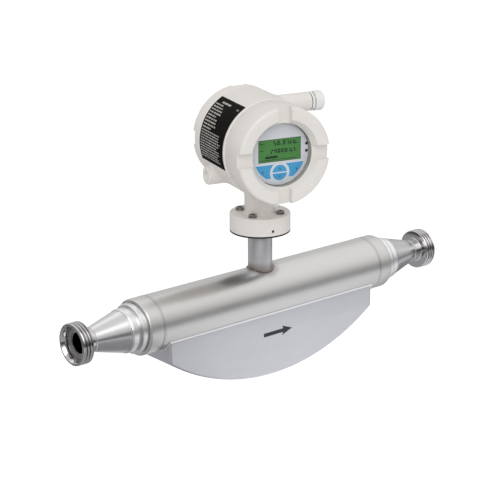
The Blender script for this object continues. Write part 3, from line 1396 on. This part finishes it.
class METER_OT_cable_entries(bpy.types.Operator):
    """Models the gland nut on the right boss and the blanking plug of the left one"""

    bl_idname = "meter.cable_entries"
    bl_label = "Cable Entries"

    def execute(self, context):
        dome = 3.4
        profile = [(9.35, NUT_START + 0.3), (9.65, NUT_START), (12.2, NUT_START), (12.7, NUT_START + 0.5)]
        profile += arc(12.7 - dome, NUT_END - dome, dome, 0, 90, 10)
        profile += [(5.0, NUT_END), (4.65, NUT_END - 0.15), (4.5, NUT_END - 0.5), (4.5, 96.5), (9.35, 96.5)]
        nut = turned("domed_nut", profile)
        dress(nut, "gland_nut", "gland_grey", "gland_plastic", "gland_nut", matrix=on_boss(1))
        end, plug_r = LEFT_BOSS_END, 9.45
        start, stop = end - 11.4, end - 0.4
        thread = stations(plug_r, start, stop, 44)
        head = [(11.2, end), (11.5, end + 0.3), (11.5, end + 1.0)]
        head += [(11.35, end + 1.35), (11.0, end + 1.5), (0, end + 1.5)]
        plug = turned("plug", [(0, end - 12), (8.9, end - 12)] + thread + head, 120)
        round_thread(plug, start, stop, plug_r, pitch=1.5, depth=0.8)
        cut(plug, hexagon(flats=12, length=6, height=end + 1.5))
        dress(plug, "transmitter", "gland_grey", "plug_plastic", "blanking_plug", matrix=on_boss(-1))
        return {"FINISHED"}


# ---------------------------------------------------------------- name plate


def rolled(obj):
    """Rolls a piece drawn flat onto the drum's left side: X down the drum, Y forward, Z outward."""

    def rule(points):
        angle = math.radians(180 - PLATE_TOP) + points[:, 0] / (PLATE_R + PLATE_THICKNESS)
        reach = PLATE_R + points[:, 2]
        forward = points[:, 1].copy()
        points[:, 0] = reach * np.cos(angle)
        points[:, 1] = reach * np.sin(angle)
        points[:, 2] = forward
        return points

    move_points(obj, rule)
    return obj


class METER_OT_name_plate(bpy.types.Operator):
    """Models the rolled name plate with rows of plain print"""

    bl_idname = "meter.name_plate"
    bl_label = "Name Plate"

    def execute(self, context):
        length = math.radians(PLATE_SWEEP) * (PLATE_R + PLATE_THICKNESS)
        clear_selection()
        bpy.ops.mesh.primitive_grid_add(x_subdivisions=72, y_subdivisions=4, size=1)
        sheet = bpy.context.object
        sheet.name = sheet.data.name = "label_plate"
        centred = Matrix.Translation((length / 2, PLATE_REAR + PLATE_WIDTH / 2, 0.05))
        sheet.data.transform(centred @ Matrix.Diagonal((length, PLATE_WIDTH, 1, 1)))
        edit(sheet)
        bpy.ops.mesh.select_all(action="SELECT")
        bpy.ops.mesh.extrude_region_move(TRANSFORM_OT_translate={"value": (0, 0, PLATE_THICKNESS - 0.05)})
        bpy.ops.mesh.select_all(action="SELECT")
        bpy.ops.mesh.normals_make_consistent(inside=False)
        leave_edit()
        dress(rolled(sheet), "transmitter", "plate_black", "label_black", "nameplate", matrix=FRONT)
        small_print = rolled(join("plate_print", self.print_bars(length)))
        dress(small_print, "transmitter", "white_plastic", "plate_print", matrix=FRONT, smooth=False)
        return {"FINISHED"}

    def print_bars(self, length):
        """Rows of short bars that stand for lines of small print."""
        chance = random.Random(7)
        low, high = PLATE_THICKNESS - 0.02, PLATE_THICKNESS + 0.03
        bars = []

        def row(down, start, end, height, word):
            place = start
            while place < end - 1:
                width = min(chance.uniform(0.5, 1.6) * word, end - place)
                bars.append(block("print", (down, place, low), (down + height, place + width, high)))
                place += width + 0.7 + 0.3 * word * chance.random()

        rear, front = PLATE_REAR + 3, PLATE_REAR + PLATE_WIDTH - 3
        row(6.0, rear + 12, rear + 38, 2.6, 7.0)
        row(7.5, front - 6, front - 1, 2.2, 4.0)
        down = 11.0
        for _ in range(9):
            row(down, rear, rear + chance.uniform(0.30, 0.52) * PLATE_WIDTH, 1.9, 4.5)
            down += 4.1
        while down < length - 5:
            row(down, rear, rear + chance.uniform(0.55, 0.85) * PLATE_WIDTH, 1.5, 3.6)
            down += 3.3
        return bars


# ---------------------------------------------------------------- parts kept as they are


class METER_OT_inner_parts(bpy.types.Operator):
    """Gives the solids that stay as they are their finishes"""

    bl_idname = "meter.inner_parts"
    bl_label = "Inner Parts"

    def execute(self, context):
        for material, slot, names in KEPT_SOLIDS:
            for name in names:
                obj = NODES[name]
                obj.data.materials.clear()
                obj.data.materials.append(bpy.data.materials[material])
        return {"FINISHED"}


# ---------------------------------------------------------------- stage


def aim(back, roll=0.0):
    """Rotation that looks against back, upright but for roll."""
    right = Vector((0, 0, 1)).cross(back).normalized()
    up = back.cross(right)
    turned_right = math.cos(roll) * right + math.sin(roll) * up
    turned_up = -math.sin(roll) * right + math.cos(roll) * up
    return Matrix((turned_right, turned_up, back)).transposed().to_4x4()


def stage_sheet(name, width, height, place):
    clear_selection()
    bpy.ops.mesh.primitive_plane_add(size=1)
    obj = bpy.context.object
    obj.name = obj.data.name = name
    obj.data.transform(place @ Matrix.Diagonal((width, height, 1, 1)))
    return obj


class METER_OT_stage(bpy.types.Operator):
    """Sets up the pale floor, the level lighting and the camera"""

    bl_idname = "meter.stage"
    bl_label = "Stage"

    def execute(self, context):
        scene = context.scene
        scene.view_settings.view_transform = "Standard"
        self.floor()
        self.world(scene)
        self.lights(scene)
        back = Vector((
            math.sin(VIEW_AZIMUTH) * math.cos(VIEW_ELEVATION),
            -math.cos(VIEW_AZIMUTH) * math.cos(VIEW_ELEVATION),
            math.sin(VIEW_ELEVATION),
        ))
        camera = bpy.data.cameras.new("camera")
        camera.lens = VIEW_LENS
        camera.sensor_width = 36
        camera.clip_start, camera.clip_end = 0.1, 50
        holder = bpy.data.objects.new("camera", camera)
        place = Matrix.Translation((Vector(VIEW_TARGET) + back * VIEW_DISTANCE) * MM)
        holder.matrix_world = place @ aim(back, VIEW_ROLL)
        scene.collection.objects.link(holder)
        scene.camera = holder
        return {"FINISHED"}

    def floor(self):
        """Pale floor: white to the camera, with the object's shadow, and pools of tone to reflections."""
        obj = stage_sheet("floor", FLOOR_SIZE, FLOOR_SIZE, Matrix.Translation((MID_X * MM, 0, FLOOR_Z)))
        material = bpy.data.materials.new("floor_finish")
        material.use_nodes = True
        tree = Tree(material.node_tree)
        shader = material.node_tree.nodes["Principled BSDF"]
        shader.inputs["Roughness"].default_value = 0.9
        shader.inputs["Specular IOR Level"].default_value = 0.1
        shader.inputs["Emission Color"].default_value = WHITE
        rays = tree.node("ShaderNodeLightPath")
        glossy = rays.outputs["Is Glossy Ray"]
        seen = tree.math("MAXIMUM", rays.outputs["Is Camera Ray"], rays.outputs["Is Transmission Ray"])
        near = self.pool(tree, (0.66, -0.33, FLOOR_Z), 0.45, 0.85)
        far = self.pool(tree, (MID_X * MM, 0, FLOOR_Z), 1.4, 2.8)
        left = self.pool(tree, (0.11, -0.38, FLOOR_Z), 0.14, 0.26, 0.4)
        right = self.pool(tree, (1.05, 0.10, FLOOR_Z), 0.27, 0.42)
        shade = tree.math("MAXIMUM", left, right)
        lit = tree.mix(near, MIDDLE_TONE, PALE_TONE)
        reflected = tree.mix(far, DARK_TONE, tree.mix(shade, lit, SHADE_TONE))
        colour = tree.mix(glossy, PLAIN_TONE, reflected)
        shine = tree.times(glossy, tree.math("SUBTRACT", near, shade, clamp=True))
        glow = tree.add(tree.times(seen, 0.46), tree.times(shine, 0.34))
        material.node_tree.links.new(colour, shader.inputs["Base Color"])
        material.node_tree.links.new(glow, shader.inputs["Emission Strength"])
        obj.data.materials.append(material)

    def pool(self, tree, centre, inner, outer, squeeze=1.0):
        """1 within a distance of the centre, falling to 0 further out; squeeze under 1 stretches it along Y."""
        centre = (centre[0], centre[1] * squeeze, centre[2])
        squeezed = {0: tree.object_point(), 1: (1, squeeze, 1)}
        point = tree.node("ShaderNodeVectorMath", squeezed, operation="MULTIPLY").outputs[0]
        reach = tree.node("ShaderNodeVectorMath", {0: point, 1: centre}, operation="DISTANCE")
        return tree.band(reach.outputs["Value"], inner, outer, 1, 0)

    def world(self, scene):
        """White to the camera; reflections see a dark wall low down and a bright ceiling."""
        world = bpy.data.worlds.new("studio")
        world.use_nodes = True
        tree = Tree(world.node_tree)
        background = world.node_tree.nodes["Background"]
        rays = tree.node("ShaderNodeLightPath")
        seen = tree.math("MAXIMUM", rays.outputs["Is Camera Ray"], rays.outputs["Is Transmission Ray"])
        _, back, up = tree.parts(tree.node("ShaderNodeTexCoord").outputs["Generated"])
        wall = tree.math("MAXIMUM", tree.band(up, 0.02, 0.34, 0.12, 0.74), tree.band(back, 0.40, 0.75, 0, 0.80))
        ceiling = tree.times(tree.band(up, 0.50, 0.70, 0, 0.55), tree.band(up, 0.84, 0.96, 1, 0.3))
        room = tree.add(wall, ceiling)
        plain = tree.math("MULTIPLY_ADD", seen, 1.0 - WORLD_LEVEL, WORLD_LEVEL)
        level = tree.node("ShaderNodeMix", {0: rays.outputs["Is Glossy Ray"], 2: plain, 3: room}).outputs[0]
        background.inputs["Color"].default_value = WHITE
        world.node_tree.links.new(level, background.inputs["Strength"])
        scene.world = world

    def lights(self, scene):
        for name, place, size, power in LIGHTS:
            lamp = bpy.data.lights.new(name, "AREA")
            lamp.shape = "SQUARE"
            lamp.size = size
            lamp.energy = power
            obj = bpy.data.objects.new(name, lamp)
            centre = Vector((MID_X * MM, 0, 0.06))
            back = Vector(place).normalized()
            obj.matrix_world = Matrix.Translation(centre + Vector(place)) @ aim(back)
            scene.collection.objects.link(obj)


# ---------------------------------------------------------------- add-on


class METER_PT_panel(bpy.types.Panel):
    """Sizes, colours and the pieces of the flow meter"""

    bl_idname = "METER_PT_panel"
    bl_label = "Flow Meter"
    bl_space_type = "VIEW_3D"
    bl_region_type = "UI"
    bl_category = "Flow Meter"

    def draw(self, context):
        layout = self.layout
        for group in (context.scene.meter_sizes, context.scene.meter_colours):
            box = layout.box()
            for name in group.__annotations__:
                box.prop(group, name)
        column = layout.column()
        for operator in OPERATORS:
            column.operator(operator.bl_idname)


OPERATORS = (
    METER_OT_process_ends,
    METER_OT_sensor_body,
    METER_OT_stem,
    METER_OT_housing,
    METER_OT_foot_hardware,
    METER_OT_front_cover,
    METER_OT_rear_cover,
    METER_OT_lock_screws,
    METER_OT_display,
    METER_OT_cable_entries,
    METER_OT_name_plate,
    METER_OT_inner_parts,
    METER_OT_stage,
)
CLASSES = (MeterSizes, MeterColours, *OPERATORS, METER_PT_panel)


def register():
    for item in CLASSES:
        bpy.utils.register_class(item)
    bpy.types.Scene.meter_sizes = PointerProperty(type=MeterSizes)
    bpy.types.Scene.meter_colours = PointerProperty(type=MeterColours)


def unregister():
    del bpy.types.Scene.meter_colours
    del bpy.types.Scene.meter_sizes
    for item in reversed(CLASSES):
        bpy.utils.unregister_class(item)


def main():
    register()
    build_materials(bpy.context.scene.meter_colours)
    for operator in OPERATORS:
        group, name = operator.bl_idname.split(".")
        getattr(getattr(bpy.ops, group), name)()
    clear_selection()
    bpy.context.view_layer.update()


if __name__ == "__main__":
    main()
